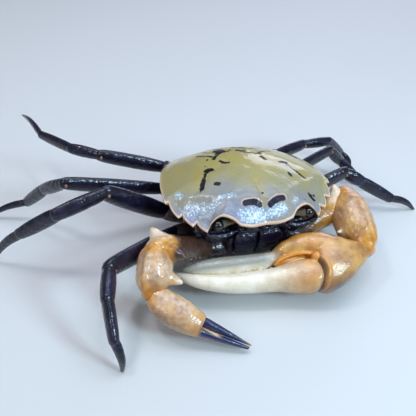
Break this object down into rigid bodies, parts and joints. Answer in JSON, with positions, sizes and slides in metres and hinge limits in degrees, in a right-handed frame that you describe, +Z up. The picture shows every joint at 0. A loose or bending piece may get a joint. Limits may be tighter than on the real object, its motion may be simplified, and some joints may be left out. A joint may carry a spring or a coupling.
{
  "type": "freshwater crab",
  "caption": "Life-size freshwater crab standing still on its toe tips: a toothed oval shell, stalked eyes, a folded tail, slender walking legs and unequal claws.",
  "frame": {"origin": "middle of the footprint, on the ground under the toe tips", "axes": "+X to the crab's own left, +Y to its back, +Z up"},
  "size_m": [0.1184, 0.0792, 0.0243],
  "materials": {
    "shell": "wet, smooth, olive with black marks and a cream rim",
    "belly": "wet, smooth, buff to dark brown",
    "mouth": "wet, dark brown",
    "stalk": "wet, yellowish brown",
    "eye": "glossy black",
    "leg": "wet, purple black",
    "claw": "wet, amber to pale orange",
    "finger": "smooth ivory",
    "dark_finger": "blue black with a pale tip"
  },
  "bodies": {
    "root": {"abdomen": "belly", "antenna_left": "stalk", "antenna_right": "stalk", "carapace": "shell", "claw_left_carpus": "claw", "claw_left_finger": "finger", "claw_left_hand": "claw", "claw_left_merus": "claw", "claw_right_carpus": "claw", "claw_right_finger": "dark_finger", "claw_right_hand": "claw", "claw_right_merus": "claw", "eye_left": "eye", "eye_right": "eye", "eyestalk_left": "stalk", "eyestalk_right": "stalk", "leg1_left_carpus": "leg", "leg1_left_dactyl": "leg", "leg1_left_merus": "leg", "leg1_left_propodus": "leg", "leg1_right_carpus": "leg", "leg1_right_dactyl": "leg", "leg1_right_merus": "leg", "leg1_right_propodus": "leg", "leg2_left_carpus": "leg", "leg2_left_dactyl": "leg", "leg2_left_merus": "leg", "leg2_left_propodus": "leg", "leg2_right_carpus": "leg", "leg2_right_dactyl": "leg", "leg2_right_merus": "leg", "leg2_right_propodus": "leg", "leg3_left_carpus": "leg", "leg3_left_dactyl": "leg", "leg3_left_merus": "leg", "leg3_left_propodus": "leg", "leg3_right_carpus": "leg", "leg3_right_dactyl": "leg", "leg3_right_merus": "leg", "leg3_right_propodus": "leg", "leg4_left_carpus": "leg", "leg4_left_dactyl": "leg", "leg4_left_merus": "leg", "leg4_left_propodus": "leg", "leg4_right_carpus": "leg", "leg4_right_dactyl": "leg", "leg4_right_merus": "leg", "leg4_right_propodus": "leg", "maxilliped_left": "mouth", "maxilliped_right": "mouth", "thorax": "belly"}
  },
  "joints": []
}
